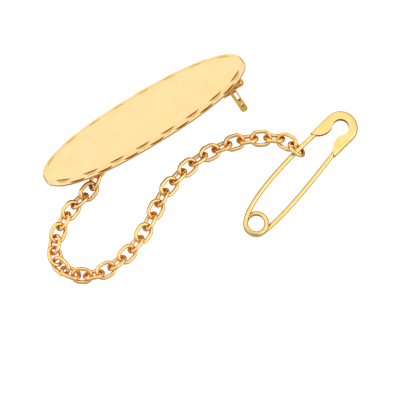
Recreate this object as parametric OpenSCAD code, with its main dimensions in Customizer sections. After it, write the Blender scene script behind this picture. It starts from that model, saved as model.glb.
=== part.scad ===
// Oval gold brooch with its safety chain and safety pin, lying on a flat surface.
// The brooch leans on its far edge and on the catch behind its right end.

/* [Plate] */
// Length of the oval plate
plate_length = 29.7; // [29.4:0.1:30.2]
// Width of the oval plate
plate_width = 9.75; // [9.6:0.05:9.75]
// Thickness of the plate
plate_thickness = 0.45; // [0.4:0.05:0.5]
// How full the oval is, where 2 is an ellipse
plate_fullness = 2.3; // [2.1:0.1:2.4]

/* [Border] */
// Width of the bevelled border
border_width = 0.8; // [0.7:0.05:0.9]
// Fall of the border from the flat face to the rim
border_drop = 0.2; // [0.15:0.05:0.25]
// Distance between one cut and the next in a row
mark_spacing = 3.77; // [3.7:0.01:3.8]
// Length of a cut
mark_length = 2.25; // [2.1:0.05:2.3]
// Width of a cut
mark_reach = 0.5; // [0.46:0.02:0.54]
// Depth of the cuts of the inner row at their walls
inner_depth = 0.12; // [0.1:0.01:0.14]
// Depth of the cuts of the outer row at their walls
outer_depth = 0.16; // [0.13:0.01:0.16]
// Distance of the inner row's walls from the rim
inner_row = 0.78; // [0.74:0.02:0.8]
// Distance of the outer row's walls from the rim
outer_row = 0.2; // [0.18:0.02:0.26]

/* [Fittings on the back] */
// Diameter of the brooch pin
pin_d = 1; // [0.9:0.02:1]
// Place of the catch along the plate
catch_x = 11.45; // [11.35:0.05:11.55]
// How far the catch stands out behind the face
catch_depth = 6.48; // [6.4:0.02:6.48]
// Width of the catch's strip
catch_width = 0.94; // [0.88:0.02:0.96]
// Thickness of the catch's strip
catch_thickness = 0.5; // [0.45:0.05:0.55]
// Place of the joint along the plate
joint_x = -10.6; // [-10.8:0.1:-10.4]

/* [Chain] */
// Length of a link
link_length = 2.86; // [2.84:0.01:2.9]
// Width of a link
link_width = 2.22; // [2.2:0.01:2.26]
// Thickness of a link's wire
link_wire = 0.5; // [0.46:0.01:0.5]
// Lean of the links that lie open
open_roll = 20; // [18:1:22]
// Lean of the links between them
edge_roll = 52; // [50:1:54]
// Outer diameter of the end ring
ring_d = 2.7; // [2.66:0.02:2.74]

/* [Safety pin] */
// Thickness of the safety pin's wire
safety_wire = 0.62; // [0.56:0.02:0.62]
// Radius of the coil at the middle of its wire
coil_r = 1.36; // [1.34:0.02:1.38]
// Thickness of the cap
cap_height = 1; // [0.98:0.02:1.04]
// Half the width of the cap
cap_r = 2.22; // [2.22:0.01:2.25]
// Thickness of the cap's sheet
cap_sheet = 0.1; // [0.08:0.01:0.1]

/* [Hidden] */
link_count = 31;
function link_name(i) = str("link_", i < 10 ? "0" : "", i);
$fn = 48;
gold = [0.98, 0.85, 0.55];
warm_gold = [0.94, 0.76, 0.44];

// The plate's own frame: its middle, the heading of its length, the rise of its right end, and the
// lean of its face towards the far side. X runs along it, Y to the far side and Z out of its face.
plate_place = [-7.32, 6.32, 3.49];
plate_heading = 30.8;
plate_rise = 5;
plate_lean = 34;
plate_along = [
    cos(plate_heading) * cos(plate_rise),
    sin(plate_heading) * cos(plate_rise),
    sin(plate_rise)
];
level_side = [-sin(plate_heading), cos(plate_heading), 0];
level_normal = cross(plate_along, level_side);
plate_side = level_side * cos(plate_lean) - level_normal * sin(plate_lean);
plate_normal = cross(plate_along, plate_side);

function on_plate(p) = plate_place + plate_along * p[0] + plate_side * p[1] + plate_normal * p[2];
function to_plate(p) = let(d = p - plate_place) [d * plate_along, d * plate_side, d * plate_normal];

module lay_on_plate() {
    translate(plate_place)
        rotate([-plate_lean, -plate_rise, plate_heading])
            children();
}

// The brooch pin's line runs from the joint down to the catch
pin_y = -0.93;
joint_y = -0.3;
joint_depth = 2;
pin_depth = 2.5;
pin_tilt = atan2(pin_depth - joint_depth, catch_x - joint_x);
pin_turn = atan2(pin_y - joint_y, catch_x - joint_x);
pin_tail = 0.8;
pin_reach = 13.5;
pin_bore = pin_d + 0.2;

// The catch: a strip with two slots and a hook round the pin
catch_y = -1.75;
catch_hook_r = 0.8;
catch_hook_reach = 0.85;
catch_lean = 3.8;
slot_x = 0.1;
pin_slot = [2.2, 4.4, 0.36];
small_slot = [4.9, 5.6, 0.28];
joint_width = 1;
joint_r = 0.85;

// The chain hangs from a soldered loop behind the left end
hang_point = [-8.7, -1.98, -2.35];
loop_r = 0.75;

// The safety pin: the middle of its coil, and of its cap's round end
coil_place = [7.14, -6.87];
cap_place = [18.03, 5.71, 0.78];
wire_below = 0.04;
cap_heading = 45;
cap_length = 3.43;
cap_eye_r = 1.07;
lobe_r = 2.1;
lobe_x = -1.3;
lobe_y = 2.8;
back_wire_in_cap = 1.66;
point_in_cap = 1.43;
front_angle = 38;
coil_turn = 270 + front_angle + 180;
coil_gap = 0.06;
coil_bottom = safety_wire / 2;
coil_top = coil_bottom + (safety_wire + coil_gap) * coil_turn / 360;

// A point of the wire inside the cap, a little below the middle of its hollow
function in_cap(x, y) = cap_place + [
    x * cos(cap_heading) - y * sin(cap_heading),
    x * sin(cap_heading) + y * cos(cap_heading),
    -wire_below
];
function on_coil(angle, height) = [
    coil_place[0] + coil_r * cos(angle),
    coil_place[1] + coil_r * sin(angle),
    height
];
function bezier(p, t) = p[0] * pow(1 - t, 3) + p[1] * 3 * t * pow(1 - t, 2)
    + p[2] * 3 * t * t * (1 - t) + p[3] * pow(t, 3);

// Each stem bends a little between the coil and the cap
back_end = in_cap(-0.8, back_wire_in_cap);
back_stem = [on_coil(180, coil_top), [5.78, -4.62, coil_top], [10.05, 0.75, 1], back_end];
front_end = in_cap(-0.9, -point_in_cap);
front_start = on_coil(270 + front_angle, coil_bottom);
front_pull = 4.4 * [cos(front_angle), sin(front_angle), 0];
front_stem = [front_start, front_start + front_pull, [16.1, 1, 0.9], front_end];

// The end ring hangs on the back stem, with its lower half under the wire
ring_on_stem = 0.778;
ring_tilt = 55;
ring_turn = 12;
ring_offset = 0.18;
ring_r = (ring_d - link_wire) / 2;
stem_side = [-sin(cap_heading), cos(cap_heading), 0];
ring_height = ring_r * sin(ring_tilt) + link_wire / 2 + 0.01;
stem_at_ring = bezier(back_stem, ring_on_stem);
ring_place = [stem_at_ring[0], stem_at_ring[1], ring_height] + stem_side * ring_offset;

// The height of the middle of a link that leans on the surface
lying = (link_width - link_wire) / 2 * sin(edge_roll) + link_wire / 2 + 0.01;
// The chain's route between the loop and the end ring: x, y and how far it is lifted off the surface
chain_turns = [
    [-13.68, -2.08, 0.51],
    [-15, -3.6, 0.13],
    [-16.6, -5.1, 0],
    [-17.8, -7.2, 0],
    [-18.6, -9.4, 0],
    [-18.6, -11.1, 0],
    [-17.8, -12.5, 0],
    [-16.4, -13.4, 0],
    [-14.7, -13.7, 0],
    [-12.9, -13.4, 0],
    [-10.7, -12.1, 0],
    [-8.5, -10, 0],
    [-7, -7.7, 0],
    [-5.7, -5.1, 0],
    [-4.7, -3, 0],
    [-3, -0.9, 0],
    [-0.5, 1.4, 0],
    [2.2, 2.9, 0],
    [5.1, 4, 0],
    [7.9, 4.3, 0],
    [10.1, 4.3, 0.01]
];
wire_step = link_wire + 0.16;
ring_down = [cos(ring_tilt) * cos(cap_heading), cos(ring_tilt) * sin(cap_heading), -sin(ring_tilt)];
ring_hook = ring_place
    + (ring_r - wire_step / 2) * (stem_side * cos(ring_turn) + ring_down * sin(ring_turn));
route = concat(
    [on_plate(hang_point)],
    [for (turn = chain_turns) turn + [0, 0, lying]],
    [ring_hook]
);
route_steps = 8;

function route_point(s) = let(
    i = min(floor(s), len(route) - 2),
    t = s - i,
    a = route[max(i - 1, 0)],
    b = route[i],
    c = route[i + 1],
    d = route[min(i + 2, len(route) - 1)]
) (b * 2 + (c - a) * t + (a * 2 - b * 5 + c * 4 - d) * t * t + (b * 3 - a - c * 3 + d) * t * t * t) / 2;
fine_route = [for (i = [0:(len(route) - 1) * route_steps]) route_point(i / route_steps)];
last_fine = len(fine_route) - 1;
route_runs = [
    for (i = 0, run = 0; i <= last_fine;
        run = run + (i < last_fine ? norm(fine_route[i + 1] - fine_route[i]) : 0), i = i + 1)
        run
];
route_length = route_runs[last_fine];
function walk(run) = let(
    i = max([for (j = [0:last_fine - 1]) if (route_runs[j] <= run) j]),
    share = (run - route_runs[i]) / (route_runs[i + 1] - route_runs[i])
) fine_route[i] * (1 - share) + fine_route[i + 1] * share;
// The links lie a little closer together in the left bend than in the long run after it
slack = 0.85;
bunch_from = 6;
bunch_to = 12;
bunch_end = 31;
function lag(i) =
    i < bunch_to ? slack * max(0, i - bunch_from) / (bunch_to - bunch_from) :
    slack * max(0, bunch_end - i) / (bunch_end - bunch_to);
// Where each link meets the next
meets = [for (i = [0:link_count]) walk(route_length * i / link_count - lag(i))];

// The links lean by turns to one side and to the other. Before the left bend the odd ones stand
// steeper, after it the even ones, and in the bend the chain rolls over from the one to the other.
bend_first = 6;
bend_last = 12;
function link_roll(i) = let(
    lean = (edge_roll + open_roll) / 2,
    over = (edge_roll - open_roll) / 2,
    share = max(0, min(1, (i - bend_first) / (bend_last - bend_first)))
) (i % 2 == 1 ? lean : -lean) + over * (1 - 2 * share);

function heading(v) = atan2(v[1], v[0]);
function rise(v) = asin(v[2] / norm(v));
function unit(v) = v / norm(v);
function link_way(i) = meets[i] - meets[i - 1];
// The way that a link's width points
function link_across(i) = let(
    along = unit(link_way(i)),
    level = [-sin(heading(along)), cos(heading(along)), 0]
) level * cos(link_roll(i)) + cross(along, level) * sin(link_roll(i));

// The loop's plane stands square to the first link
loop_place = meets[0] + unit(link_way(1)) * (wire_step / 2 - loop_r);
loop_top = to_plate(
    loop_place + loop_r * unit(plate_normal - link_across(1) * (plate_normal * link_across(1)))
);

function signed_pow(v, e) = sign(v) * pow(abs(v), e);
function oval_point(angle, inset) = [
    (plate_length / 2 - inset) * signed_pow(cos(angle), 2 / plate_fullness),
    (plate_width / 2 - inset) * signed_pow(sin(angle), 2 / plate_fullness)
];
oval_points = 120;
function oval(inset) = [for (i = [0:oval_points - 1]) oval_point(360 * i / oval_points, inset)];
function rim_y(x) = plate_width / 2 * pow(
    max(0, 1 - pow(abs(2 * x / plate_length), plate_fullness)), 1 / plate_fullness
);
function rim_heading(x, side) = atan2(
    side * pow(2 * rim_y(x) / plate_width, plate_fullness - 1) / plate_width,
    signed_pow(2 * x / plate_length, plate_fullness - 1) / plate_length
);
border_slope = atan2(border_drop, border_width);

wheel_steps = 6;
// The edge of the cutting wheel, a little longer than the cut
function wheel_edge(depth) = let(
    r = (pow(mark_length / 2, 2) + depth * depth) / (2 * depth),
    reach = 1.3 * asin(mark_length / 2 / r)
) [for (i = [-wheel_steps:wheel_steps]) let(a = reach * i / wheel_steps) [r * cos(a) - r, r * sin(a)]];

// One diamond-cut mark, as a wheel cuts it: a straight wall on the inner side, deepest at its middle,
// and a hollow floor that rises to the rim
module mark(x, side, row, depth) {
    floor_slope = atan2(depth, mark_reach);
    translate([x, side * rim_y(x), -border_drop])
        rotate([0, border_slope, rim_heading(x, side)])
            translate([-row, 0, -depth])
                rotate([0, 90 - floor_slope, 0])
                    linear_extrude(2 * mark_reach)
                        polygon(wheel_edge(depth));
}

module border_marks() {
    for (side = [-1, 1]) {
        for (i = [-3.5:3.5])
            mark(i * mark_spacing, side, inner_row, inner_depth);
        for (i = [-3:3])
            mark(i * mark_spacing, side, outer_row, outer_depth);
        mark(side * plate_length / 2, side, outer_row, outer_depth);
    }
}

module plate_body() {
    difference() {
        union() {
            translate([0, 0, -plate_thickness])
                linear_extrude(plate_thickness - border_drop)
                    polygon(oval(0));
            hull() {
                translate([0, 0, -border_drop - 0.02])
                    linear_extrude(0.02)
                        polygon(oval(0));
                translate([0, 0, -0.01])
                    linear_extrude(0.01)
                        polygon(oval(border_width));
            }
        }
        border_marks();
    }
}

// Places its children on the brooch pin's line, with Z along it, at a distance along the plate
module on_pin_line(x) {
    along = x - joint_x;
    translate([x, joint_y + along * tan(pin_turn), -joint_depth - along * tan(pin_tilt)])
        rotate([0, 90 + pin_tilt, pin_turn])
            children();
}

// A slot through the catch's strip, between two depths
module slot(from, to, width) {
    for (z = [from + width / 2, to - width / 2])
        translate([slot_x, 0, -z])
            rotate([90, 0, 0])
                cylinder(d = width, h = 2 * catch_thickness, center = true);
    translate([slot_x - width / 2, -catch_thickness, -to + width / 2])
        cube([width, 2 * catch_thickness, to - from - width]);
}

module catch_strip() {
    end_z = -catch_depth + catch_width / 2;
    difference() {
        union() {
            translate([-catch_width / 2, -catch_thickness / 2, end_z])
                cube([catch_width, catch_thickness, -end_z - plate_thickness / 2]);
            translate([0, 0, end_z])
                rotate([90, 0, 0])
                    cylinder(d = catch_width, h = catch_thickness, center = true);
        }
        slot(pin_slot[0], pin_slot[1], pin_slot[2]);
        slot(small_slot[0], small_slot[1], small_slot[2]);
    }
}

module catch() {
    hook_x = catch_x + pin_depth * sin(catch_lean);
    difference() {
        union() {
            translate([catch_x, catch_y, 0])
                rotate([0, -catch_lean, 0])
                    catch_strip();
            on_pin_line(hook_x - catch_width / 2 - catch_hook_reach)
                cylinder(r = catch_hook_r, h = catch_hook_reach + catch_width);
        }
        on_pin_line(catch_x)
            cylinder(d = pin_bore, h = 4, center = true);
        translate([catch_x - 2, pin_y, -pin_depth - 0.1])
            cube([4, 2, 1]);
    }
}

module joint() {
    difference() {
        union() {
            translate([joint_x - joint_width / 2, joint_y - joint_r, -joint_depth])
                cube([joint_width, 2 * joint_r, joint_depth - plate_thickness / 2]);
            on_pin_line(joint_x)
                cylinder(r = joint_r, h = joint_width, center = true);
        }
        on_pin_line(joint_x)
            cylinder(d = pin_bore, h = 3, center = true);
    }
}

module chain_loop() {
    translate(loop_place)
        rotate([link_roll(1) + 90, -rise(link_way(1)), heading(link_way(1))])
            rotate_extrude()
                translate([loop_r, 0])
                    circle(d = link_wire);
    lay_on_plate()
        translate(loop_top)
            cylinder(d = link_wire, h = -loop_top[2] - plate_thickness / 2);
}

module plate() {
    color(gold) {
        lay_on_plate() {
            plate_body();
            catch();
            joint();
        }
        chain_loop();
    }
}

module brooch_pin() {
    color(warm_gold)
        lay_on_plate() {
            on_pin_line(joint_x - pin_tail)
                cylinder(d = pin_d, h = (pin_reach - joint_x + pin_tail) / cos(pin_tilt) - pin_d / 2);
            on_pin_line(pin_reach)
                translate([0, 0, -pin_d / 2])
                    sphere(d = pin_d);
        }
}

// A link is two half rings joined by two short straight wires
module link(i) {
    bend_r = (link_width - link_wire) / 2;
    half_straight = (link_length - link_width) / 2;
    way = link_way(i);
    color(gold)
        translate((meets[i] + meets[i - 1]) / 2)
            rotate([link_roll(i), -rise(way), heading(way)])
                for (turn = [0, 180])
                    rotate([0, 0, turn]) {
                        translate([half_straight, 0, 0])
                            rotate([0, 0, -90])
                                rotate_extrude(angle = 180)
                                    translate([bend_r, 0])
                                        circle(d = link_wire);
                        translate([-half_straight, bend_r, 0])
                            rotate([0, 90, 0])
                                cylinder(d = link_wire, h = 2 * half_straight);
                    }
}

module end_ring() {
    color(gold)
        translate(ring_place)
            rotate([0, ring_tilt, cap_heading])
                rotate_extrude()
                    translate([ring_r, 0])
                        circle(d = link_wire);
}

stem_steps = 14;
coil_steps = 36;
wire_sides = 12;
point_length = 2;
point_share = 0.12;
safety_route = concat(
    [for (i = [stem_steps:-1:1]) bezier(back_stem, i / stem_steps)],
    [for (i = [0:coil_steps])
        on_coil(180 + coil_turn * i / coil_steps, coil_top + (coil_bottom - coil_top) * i / coil_steps)],
    [for (i = [1:stem_steps]) bezier(front_stem, i / stem_steps)]
);
last_wire = len(safety_route) - 1;
// The front stem tapers to a point inside the cap
function wire_r(i) = safety_wire / 2 * min(
    1, point_share + (1 - point_share) * norm(safety_route[last_wire] - safety_route[i]) / point_length
        + (i < last_wire - stem_steps ? 1 : 0)
);
function wire_ring(i) = let(
    way = unit(safety_route[min(i + 1, last_wire)] - safety_route[max(i - 1, 0)]),
    across = unit(cross(way, [0, 0, 1])),
    up = cross(across, way)
) [for (j = [0:wire_sides - 1])
    safety_route[i] + wire_r(i) * (across * cos(360 * j / wire_sides) + up * sin(360 * j / wire_sides))];

module safety_pin() {
    points = [for (i = [0:last_wire]) each wire_ring(i)];
    sides = [for (i = [0:last_wire - 1]) for (j = [0:wire_sides - 1]) let(next = (j + 1) % wire_sides) [
        i * wire_sides + j,
        i * wire_sides + next,
        (i + 1) * wire_sides + next,
        (i + 1) * wire_sides + j
    ]];
    first_end = [for (j = [wire_sides - 1:-1:0]) j];
    last_end = [for (j = [0:wire_sides - 1]) last_wire * wire_sides + j];
    color(gold)
        polyhedron(points, concat(sides, [first_end, last_end]), convexity = 6);
}

// A flat hood with one round end, its outer edge folded round
module hood(r, height, length) {
    fold_r = height / 2;
    rotate([0, 0, -90])
        rotate_extrude(angle = 180) {
            translate([0, -fold_r])
                square([r - fold_r, height]);
            intersection() {
                translate([r - fold_r, 0])
                    circle(r = fold_r);
                translate([0, -fold_r])
                    square([r, height]);
            }
        }
    rotate([0, -90, 0])
        linear_extrude(length) {
            translate([-fold_r, -r + fold_r])
                square([height, 2 * (r - fold_r)]);
            for (y = [-1, 1])
                translate([0, y * (r - fold_r)])
                    circle(r = fold_r);
        }
}

module safety_pin_cap() {
    color(warm_gold)
        translate(cap_place)
            rotate([0, 0, cap_heading])
                difference() {
                    hood(cap_r, cap_height, cap_length);
                    hood(cap_r - cap_sheet, cap_height - 2 * cap_sheet, cap_length + 1);
                    translate([0, 0, -cap_height])
                        linear_extrude(2 * cap_height) {
                            circle(r = cap_eye_r);
                            difference() {
                                translate([-cap_length - 1, -cap_r])
                                    square([cap_length + 0.5, 2 * cap_r]);
                                for (y = [-lobe_y, lobe_y])
                                    translate([lobe_x, y])
                                        circle(r = lobe_r);
                            }
                        }
                }
}

plate();
brooch_pin();
for (i = [1:link_count]) {
    link(i);
}
end_ring();
safety_pin();
safety_pin_cap();
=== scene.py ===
import math

import bpy
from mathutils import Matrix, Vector

# Oval gold brooch with its safety chain, photographed from above on a white table.
# Everything is in metres, and sizes of the real thing are written in millimetres.
MM = 0.001

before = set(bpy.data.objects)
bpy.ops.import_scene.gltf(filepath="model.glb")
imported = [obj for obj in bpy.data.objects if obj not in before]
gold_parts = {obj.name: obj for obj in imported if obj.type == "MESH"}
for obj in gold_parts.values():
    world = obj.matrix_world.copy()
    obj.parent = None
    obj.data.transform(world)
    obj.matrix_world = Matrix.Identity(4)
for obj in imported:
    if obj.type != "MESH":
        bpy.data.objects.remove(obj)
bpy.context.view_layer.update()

LINKS = sorted(name for name in gold_parts if name.startswith("link_"))


def linear(hex_colour):
    """An sRGB hex colour as linear light, with alpha 1"""
    channels = [int(hex_colour[i:i + 2], 16) / 255 for i in (1, 3, 5)]
    light = [c / 12.92 if c <= 0.04045 else ((c + 0.055) / 1.055) ** 2.4 for c in channels]
    return (*light, 1)


# How the brooch lies

# The middle of the plate's face, and the plate's own axes: along its length, across it towards the far
# rim, and out of its face
PLATE_MIDDLE = Vector((-7.32, 6.32, 3.49)) * MM
PLATE_HEADING = math.radians(30.8)
PLATE_RISE = math.radians(5)
PLATE_LEAN = math.radians(34)
ALONG_PLATE = Vector((
    math.cos(PLATE_HEADING) * math.cos(PLATE_RISE),
    math.sin(PLATE_HEADING) * math.cos(PLATE_RISE),
    math.sin(PLATE_RISE),
))
LEVEL_ACROSS = Vector((-math.sin(PLATE_HEADING), math.cos(PLATE_HEADING), 0))
LEVEL_OUT = ALONG_PLATE.cross(LEVEL_ACROSS)
ACROSS_PLATE = LEVEL_ACROSS * math.cos(PLATE_LEAN) - LEVEL_OUT * math.sin(PLATE_LEAN)
OUT_OF_PLATE = ALONG_PLATE.cross(ACROSS_PLATE)

# The brooch pin runs from the joint to the catch, and the safety pin lies flat on the table
ALONG_BROOCH_PIN = Vector((0.874, 0.479, 0.084))
ACROSS_BROOCH_PIN = Vector((0, 0, 1)).cross(ALONG_BROOCH_PIN)
ALONG_SAFETY_PIN = Vector((0.66, 0.75, 0))
ACROSS_SAFETY_PIN = Vector((-0.75, 0.66, 0))


# Camera

CAMERA_TARGET = Vector((-0.04, -3.6, 0)) * MM
CAMERA_ELEVATION = math.radians(78)
CAMERA_DISTANCE = 450 * MM
LENS_MM = 316
SENSOR_MM = 36
NEAREST_SEEN = 0.01
FARTHEST_SEEN = 20


def stand_camera():
    """A long lens, almost straight above the brooch"""
    lens = bpy.data.cameras.new("camera")
    lens.lens = LENS_MM
    lens.sensor_width = SENSOR_MM
    lens.clip_start = NEAREST_SEEN
    lens.clip_end = FARTHEST_SEEN
    camera = bpy.data.objects.new("camera", lens)
    bpy.context.scene.collection.objects.link(camera)
    back = Vector((0, -math.cos(CAMERA_ELEVATION), math.sin(CAMERA_ELEVATION)))
    camera.location = CAMERA_TARGET + back * CAMERA_DISTANCE
    camera.rotation_euler = (math.pi / 2 - CAMERA_ELEVATION, 0, 0)
    bpy.context.scene.camera = camera


# Table and light

def add(tree, kind, values=None, links=None, **settings):
    """One shader node with its settings, socket values and incoming links"""
    made = tree.nodes.new(kind)
    for name, value in settings.items():
        setattr(made, name, value)
    for socket, value in (values or {}).items():
        made.inputs[socket].default_value = value
    for socket, source in (links or {}).items():
        tree.links.new(source, made.inputs[socket])
    return made


def between(tree, share, low, high, low_value, high_value):
    """Turns a share between low and high into a value between two others"""
    return add(tree, "ShaderNodeMapRange", {
        "From Min": low, "From Max": high, "To Min": low_value, "To Max": high_value,
    }, {"Value": share}).outputs["Result"]


def colour_stops(ramp_node, stops):
    """Sets the stops of a colour ramp, each a place from 0 to 1 and a hex colour"""
    ramp = ramp_node.color_ramp
    while len(ramp.elements) > 1:
        ramp.elements.remove(ramp.elements[-1])
    ramp.elements[0].position = stops[0][0]
    ramp.elements[0].color = linear(stops[0][1])
    for place, hex_colour in stops[1:]:
        ramp.elements.new(place).color = linear(hex_colour)


TABLE_REACH = 3
TABLE_BELOW = 0.01 * MM

# The painted pool of light, where the table itself glows though no lamp shines there, starts and is full
# here, in millimetres behind the middle of the plate
PAINTED_POOL_FROM = 2.6
PAINTED_POOL_FULL = 4.6

# How bright each light is, the painted pool of light on the table among them, as the share of a plain white
# sheet
PAINTED_POOL_GLOW = 0.6
BURNT_OUT = 0.8
TENT_LIGHT = 1.25


def lay_table():
    """A white table top. The camera sees it burnt out to white, while the gold mirrors it a little darker,
    but for a painted pool of light behind the brooch, where the sheet itself glows with no lamp there"""
    corners = [(x * TABLE_REACH, y * TABLE_REACH, 0) for x, y in ((-1, -1), (1, -1), (1, 1), (-1, 1))]
    mesh = bpy.data.meshes.new("table")
    mesh.from_pydata(corners, [], [(0, 1, 2, 3)])
    table = bpy.data.objects.new("table", mesh)
    table.location.z = -TABLE_BELOW
    bpy.context.scene.collection.objects.link(table)
    white = bpy.data.materials.new("white acrylic sheet, matt")
    white.use_nodes = True
    tree = white.node_tree
    tree.nodes.clear()
    place = add(tree, "ShaderNodeTexCoord")
    behind = add(tree, "ShaderNodeVectorMath", {1: LEVEL_ACROSS / MM}, {0: place.outputs["Object"]},
                 operation="DOT_PRODUCT")
    middle = PLATE_MIDDLE.dot(LEVEL_ACROSS) / MM
    painted_pool_glow = between(tree, behind.outputs["Value"], middle + PAINTED_POOL_FROM, middle + PAINTED_POOL_FULL,
                         0, PAINTED_POOL_GLOW)
    matt = add(tree, "ShaderNodeBsdfDiffuse", {"Color": linear("#C4C4C2")})
    # Painted light: behind the brooch the sheet itself glows, a pool of light with no lamp
    painted_light_pool = add(tree, "ShaderNodeEmission", {"Color": linear("#FFFFFF")}, {"Strength": painted_pool_glow})
    sheet = add(tree, "ShaderNodeAddShader", links={0: matt.outputs["BSDF"], 1: painted_light_pool.outputs["Emission"]})
    burnt_out = add(tree, "ShaderNodeEmission", {"Color": linear("#FFFFFF"), "Strength": BURNT_OUT})
    seen = add(tree, "ShaderNodeAddShader", links={
        0: sheet.outputs["Shader"], 1: burnt_out.outputs["Emission"],
    })
    ray = add(tree, "ShaderNodeLightPath")
    shown = add(tree, "ShaderNodeMixShader", links={
        "Fac": ray.outputs["Is Camera Ray"], 1: sheet.outputs["Shader"], 2: seen.outputs["Shader"],
    })
    add(tree, "ShaderNodeOutputMaterial", links={"Surface": shown.outputs["Shader"]})
    mesh.materials.append(white)


# The walls of the light tent: the sine of the elevation, and the grey there. The dark seam low on the
# walls draws a thin dark line along both sides of each wire
TENT_WALL = [
    (0.0, "#FFFFFF"), (0.14, "#FFFFFF"), (0.22, "#94938C"), (0.36, "#94938C"), (0.46, "#F8F8F6"),
    (0.85, "#E8E8E6"), (1.0, "#E4E4E2"),
]

# Where the light tent is open, and where its softboxes hang, all angles in degrees:
# azimuth, elevation, half width, softness of the edge, brightness
TENT_PATCHES = {
    "lens hole": (-14, 80, 9, 4, 0.62),
    "top softbox": (97, 75, 9, 5, 1.1),
    "back softbox": (120, 8, 28, 6, 0.98),
    "left softbox": (172, 38, 20, 14, 1.15),
    "right softbox": (-20, 42, 18, 14, 1.4),
    "front gap": (-90, 30, 24, 20, 0.3),
}


def direction(azimuth, elevation):
    """The way from the brooch to a place on the tent"""
    a, e = math.radians(azimuth), math.radians(elevation)
    return Vector((math.cos(a) * math.cos(e), math.sin(a) * math.cos(e), math.sin(e)))


def light_tent():
    """The inside of a white light tent, with its softboxes, and darker where it is open"""
    tent = bpy.data.worlds.new("light tent")
    tent.use_nodes = True
    tree = tent.node_tree
    tree.nodes.clear()
    way = add(tree, "ShaderNodeTexCoord")
    split = add(tree, "ShaderNodeSeparateXYZ", links={"Vector": way.outputs["Generated"]})
    wall = add(tree, "ShaderNodeValToRGB", links={"Fac": split.outputs["Z"]})
    colour_stops(wall, TENT_WALL)
    brightness = wall.outputs["Color"]
    for name, (azimuth, elevation, half_width, edge, level) in TENT_PATCHES.items():
        along = add(tree, "ShaderNodeVectorMath", {1: direction(azimuth, elevation)},
                    {0: way.outputs["Generated"]}, operation="DOT_PRODUCT", label=name)
        cover = add(tree, "ShaderNodeMapRange", {
            "From Min": math.cos(math.radians(half_width + edge)),
            "From Max": math.cos(math.radians(half_width - edge)),
        }, {"Value": along.outputs["Value"]}, interpolation_type="SMOOTHSTEP")
        mixed = add(tree, "ShaderNodeMix", {7: (level, level, level, 1)},
                    {0: cover.outputs["Result"], 6: brightness}, data_type="RGBA")
        brightness = mixed.outputs[2]
    glow = add(tree, "ShaderNodeBackground", {"Strength": TENT_LIGHT}, {"Color": brightness})
    add(tree, "ShaderNodeOutputWorld", links={"Surface": glow.outputs["Background"]})
    bpy.context.scene.world = tent


# Gold of the brooch

def gold(name, grazing):
    """A bare gold alloy, its metal shader ready for a finish. Grazing is its tint along the outline"""
    alloy = bpy.data.materials.new(name)
    alloy.use_nodes = True
    tree = alloy.node_tree
    tree.nodes.clear()
    shader = add(tree, "ShaderNodeBsdfPrincipled", {
        "Metallic": 1, "Specular Tint": linear(grazing),
    })
    add(tree, "ShaderNodeOutputMaterial", links={"Surface": shader.outputs["BSDF"]})
    return alloy, tree, shader


def blotches(tree, size_mm, detail=2):
    """Soft blotches of one size on a piece, from 0 to 1"""
    place = add(tree, "ShaderNodeTexCoord")
    return add(tree, "ShaderNodeTexNoise", {
        "Scale": 1 / (size_mm * MM), "Detail": detail, "Roughness": 0.55,
    }, {"Vector": place.outputs["Object"]}).outputs["Fac"]


def rubbed_lines(tree, along, across, length_mm, width_mm):
    """Fine lines that run one way, as a polishing wheel or a draw plate leaves them, from 0 to 1"""
    place = add(tree, "ShaderNodeTexCoord").outputs["Object"]
    third = along.cross(across)
    parts = {}
    for socket, axis, size_mm in (("X", along, length_mm), ("Y", across, width_mm), ("Z", third, width_mm)):
        parts[socket] = add(tree, "ShaderNodeVectorMath", {1: axis.normalized() / (size_mm * MM)},
                            {0: place}, operation="DOT_PRODUCT").outputs["Value"]
    stretched = add(tree, "ShaderNodeCombineXYZ", links=parts)
    return add(tree, "ShaderNodeTexNoise", {"Scale": 1, "Detail": 3, "Roughness": 0.6},
               {"Vector": stretched.outputs["Vector"]}).outputs["Fac"]


def toned(tree, share, colour, other):
    """Mixes from one colour to the other by a share. Each is a hex or another mix"""
    values, links = {}, {0: share}
    for socket, tone in ((6, colour), (7, other)):
        if isinstance(tone, str):
            values[socket] = linear(tone)
        else:
            links[socket] = tone
    return add(tree, "ShaderNodeMix", values, links, data_type="RGBA").outputs[2]


def painted_shade_mask(tree, reach_mm, open_at, closed_at, alone=False):
    """1 deep in a corner, cut or joint and 0 on the open surface, from how much the gold is closed in, by the
    piece alone or by whatever lies near it: the mask for the painted shade there"""
    closeness = add(tree, "ShaderNodeAmbientOcclusion", {"Distance": reach_mm * MM}, samples=16,
                    only_local=alone)
    return between(tree, closeness.outputs["AO"], open_at, closed_at, 0, 1)


def both(tree, share, other):
    """The product of two shares"""
    return add(tree, "ShaderNodeMath", links={0: share, 1: other}, operation="MULTIPLY").outputs["Value"]


# Depths behind the plate's face, in millimetres: where the sawn rim starts below the border, where the back
# starts, how far one finish blends into the next, and where the painted shade on the fittings turns from
# orange near the plate to yellow at their tips
SAWN_RIM_FROM = 0.2
BACK_FROM = 0.46
BLEND = 0.04
FITTINGS_ORANGE_TO = 1.8
FITTINGS_YELLOW_FROM = 4

# A cut's floor lies this deep at least, and its normal and the face's have this cosine at least
CUT_FLOOR_DEPTH = 0.04
CUT_FLOOR_FACING = 0.98


def behind_face(tree):
    """How many millimetres a point lies behind the plate's face"""
    place = add(tree, "ShaderNodeTexCoord")
    from_middle = add(tree, "ShaderNodeVectorMath", {1: PLATE_MIDDLE}, {0: place.outputs["Object"]},
                      operation="SUBTRACT")
    return add(tree, "ShaderNodeVectorMath", {1: -OUT_OF_PLATE / MM}, {0: from_middle.outputs["Vector"]},
               operation="DOT_PRODUCT").outputs["Value"]


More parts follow.
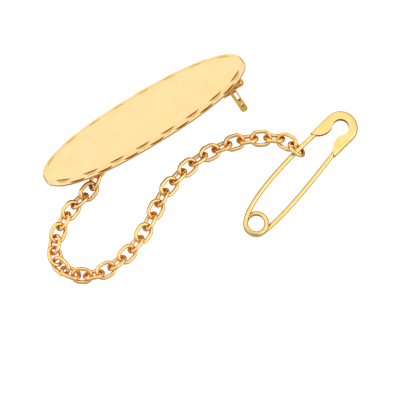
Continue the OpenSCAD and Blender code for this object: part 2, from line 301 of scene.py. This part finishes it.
def cut_floors(tree, depth):
    """1 on the floors of the diamond cuts, which lie below the plate's face and almost level with it"""
    facing = add(tree, "ShaderNodeVectorMath", {1: OUT_OF_PLATE},
                 {0: add(tree, "ShaderNodeNewGeometry").outputs["True Normal"]}, operation="DOT_PRODUCT")
    return both(tree, between(tree, facing.outputs["Value"], CUT_FLOOR_FACING, 0.992, 0, 1),
                between(tree, depth, CUT_FLOOR_DEPTH, CUT_FLOOR_DEPTH + BLEND, 0, 1))


def edges(tree, radius_mm):
    """1 along sharp edges and 0 on the flats, the mask for painted highlights along them"""
    rounded = add(tree, "ShaderNodeBevel", {"Radius": radius_mm * MM}, samples=8)
    flat = add(tree, "ShaderNodeNewGeometry")
    alike = add(tree, "ShaderNodeVectorMath", links={0: rounded.outputs["Normal"], 1: flat.outputs["Normal"]},
                operation="DOT_PRODUCT")
    return between(tree, alike.outputs["Value"], 0.995, 0.9, 0, 1)


def rounded(tree, radius_mm):
    """The normal of a wire whose flat sides are rounded off"""
    return add(tree, "ShaderNodeBevel", {"Radius": radius_mm * MM}, samples=16).outputs["Normal"]


def relief(tree, shader, *layers, normal=None):
    """Bumps the surface. Each layer is a pattern from 0 to 1 and its height in millimetres"""
    for pattern, height_mm in layers:
        bump = add(tree, "ShaderNodeBump", {"Strength": 1, "Distance": height_mm * MM}, {"Height": pattern})
        if normal:
            tree.links.new(normal, bump.inputs["Normal"])
        normal = bump.outputs["Normal"]
    tree.links.new(normal, shader.inputs["Normal"])


def polished_plate_gold():
    """9 carat yellow gold sheet, rolled flat, buffed along its length, and diamond-cut round its border: an
    even creamy face with painted highlights along its sharp edges, cuts with a line of painted shade along
    their walls and a floor painted tan as a darker reflection, a sawn rim painted a deeper tone as a darker
    reflection, and soldered fittings left rough, as no polishing wheel reaches them, with a deep orange
    painted shade near the plate that turns yellow towards their tips. A wheel's lines are about 0.01 mm wide,
    too fine to show, and are drawn coarser, at 0.16 mm"""
    alloy, tree, shader = gold("9 carat gold sheet, polished", "#F0D090")
    buffed = rubbed_lines(tree, ALONG_PLATE, ACROSS_PLATE, 3.5, 0.16)
    cloudy = blotches(tree, 2.2)
    edge_highlight = edges(tree, 0.05)
    depth = behind_face(tree)
    rim_painted_shade = both(tree, between(tree, depth, SAWN_RIM_FROM, SAWN_RIM_FROM + BLEND, 0, 1),
                between(tree, depth, BACK_FROM, BACK_FROM + BLEND, 1, 0))
    on_back = between(tree, depth, BACK_FROM, BACK_FROM + BLEND, 0, 1)
    towards_tip = between(tree, depth, FITTINGS_ORANGE_TO, FITTINGS_YELLOW_FROM, 0, 1)
    # Painted shade: the fittings and back deep orange near the plate, in its shade, and lighter yellow
    # towards their tips
    fitting_painted_shade = toned(tree, towards_tip, "#EFA04C", "#FFE07C")
    colour = toned(tree, between(tree, cloudy, 0.35, 0.65, 0, 0.5), "#F9D39D", "#F8CC8F")
    # Painted highlight along the sharp edges
    colour = toned(tree, between(tree, edge_highlight, 0, 1, 0, 0.4), colour, "#FFE7B4")
    # Painted darker reflection on the sawn rim
    colour = toned(tree, between(tree, rim_painted_shade, 0, 1, 0, 0.85), colour, "#DDB364")
    # Painted darker reflection: the floors of the cuts toned tan
    colour = toned(tree, between(tree, cut_floors(tree, depth), 0, 1, 0, 0.85), colour, "#C2A24E")
    colour = toned(tree, on_back, colour, fitting_painted_shade)
    # Painted shade: a soft darkening where the plate closes in on itself, and a dark line along the foot of
    # each cut's wall
    colour = toned(tree, painted_shade_mask(tree, 0.5, 0.985, 0.88, alone=True), colour, "#E6B876")
    colour = toned(tree, painted_shade_mask(tree, 0.16, 0.88, 0.58, alone=True), colour, "#6E4216")
    tree.links.new(colour, shader.inputs["Base Color"])
    left_rough = both(tree, on_back, between(tree, buffed, 0, 1, 0.25, 0.35))
    gloss = add(tree, "ShaderNodeMath", links={0: between(tree, buffed, 0.3, 0.7, 0.15, 0.23), 1: left_rough},
                operation="ADD")
    tree.links.new(gloss.outputs["Value"], shader.inputs["Roughness"])
    relief(tree, shader, (buffed, 0.0006), (cloudy, 0.0015))
    return alloy


def polished_pin_gold():
    """9 carat gold wire of the brooch pin, drawn, filed to a round nose and polished by hand: a deeper
    orange than the plate, with marks that run along it. Fine emery leaves marks of about 0.02 mm,
    drawn coarser here, at 0.14 mm, to show"""
    alloy, tree, shader = gold("9 carat gold wire, polished", "#D8A860")
    drawn = rubbed_lines(tree, ALONG_BROOCH_PIN, ACROSS_BROOCH_PIN, 2.5, 0.14)
    dents = blotches(tree, 0.5)
    colour = toned(tree, between(tree, dents, 0.35, 0.7, 0, 0.8), "#F2B45E", "#E39236")
    # Painted shade: a dark orange where the pin closes in on itself or lies near other gold
    colour = toned(tree, painted_shade_mask(tree, 0.6, 0.9, 0.4), colour, "#B0601E")
    tree.links.new(colour, shader.inputs["Base Color"])
    tree.links.new(between(tree, drawn, 0.3, 0.7, 0.12, 0.24), shader.inputs["Roughness"])
    relief(tree, shader, (drawn, 0.001), (dents, 0.004))
    return alloy


def tumbled_chain_gold():
    """9 carat gold cable chain, its links soldered shut and tumbled bright: light along the top of the wire,
    and a painted deep orange where two links close in on one another, standing in for their shade and the
    reflection of each link in the next. The dents that steel shot leaves are about 0.1 mm, drawn coarser
    here, at 0.35 mm, to show"""
    alloy, tree, shader = gold("9 carat gold chain wire, tumbled", "#C89A50")
    link = add(tree, "ShaderNodeObjectInfo")
    dents = blotches(tree, 0.35)
    colour = toned(tree, link.outputs["Random"], "#FFDC94", "#FDD184")
    colour = toned(tree, between(tree, dents, 0.4, 0.7, 0, 0.4), colour, "#F4C078")
    # Painted shade and reflection: deep orange where links close in on one another
    colour = toned(tree, painted_shade_mask(tree, 0.6, 0.86, 0.42), colour, "#FF9C20")
    tree.links.new(colour, shader.inputs["Base Color"])
    tree.links.new(between(tree, dents, 0.3, 0.7, 0.04, 0.12), shader.inputs["Roughness"])
    relief(tree, shader, (dents, 0.003))
    return alloy


def drawn_wire_gold():
    """9 carat gold spring wire of the safety pin, pulled through a draw plate: fine lines along it, of
    about 0.01 mm, drawn coarser here, at 0.12 mm, to show"""
    alloy, tree, shader = gold("9 carat gold spring wire, drawn", "#D0A868")
    drawn = rubbed_lines(tree, ALONG_SAFETY_PIN, ACROSS_SAFETY_PIN, 4, 0.12)
    dents = blotches(tree, 0.8)
    colour = toned(tree, between(tree, dents, 0.35, 0.65, 0, 0.5), "#FAD78A", "#F6C976")
    # Painted shade: a brown where the wire closes in, in its coil and near other pieces
    colour = toned(tree, painted_shade_mask(tree, 0.5, 0.8, 0.3), colour, "#B87428")
    tree.links.new(colour, shader.inputs["Base Color"])
    tree.links.new(between(tree, drawn, 0.3, 0.7, 0.05, 0.12), shader.inputs["Roughness"])
    relief(tree, shader, (drawn, 0.0004), (dents, 0.002), normal=rounded(tree, 0.2))
    return alloy


def pressed_cap_gold():
    """9 carat gold sheet, cut and folded in a press and left matt: a fine mottled skin, deeper yellow than
    the rest, with painted highlights along its cut edges and painted shade where it closes in. The skin's
    grain is about 0.05 mm, drawn coarser here, at 0.18 mm, to show"""
    alloy, tree, shader = gold("9 carat gold sheet, pressed", "#E8C070")
    skin = blotches(tree, 0.18, 3)
    patches = blotches(tree, 0.9)
    colour = toned(tree, between(tree, patches, 0.35, 0.65, 0, 1), "#FFDB90", "#FFD07A")
    colour = toned(tree, between(tree, skin, 0.45, 0.75, 0, 0.6), colour, "#FBE3A8")
    # Painted highlight along the cut edges
    colour = toned(tree, edges(tree, 0.04), colour, "#FFE9B8")
    # Painted shade where the cap closes in on itself or the wire
    colour = toned(tree, painted_shade_mask(tree, 0.35, 0.75, 0.3), colour, "#8A6424")
    tree.links.new(colour, shader.inputs["Base Color"])
    tree.links.new(between(tree, skin, 0.3, 0.7, 0.24, 0.34), shader.inputs["Roughness"])
    relief(tree, shader, (skin, 0.0015), (patches, 0.004))
    return alloy


def dress(name, alloy):
    slots = gold_parts[name].data.materials
    slots.clear()
    slots.append(alloy)


# The making

stand_camera()
lay_table()
light_tent()

dress("plate", polished_plate_gold())
dress("brooch_pin", polished_pin_gold())
chain_gold = tumbled_chain_gold()
for name in LINKS + ["end_ring"]:
    dress(name, chain_gold)
dress("safety_pin", drawn_wire_gold())
dress("safety_pin_cap", pressed_cap_gold())

bpy.context.scene.view_settings.view_transform = "Standard"
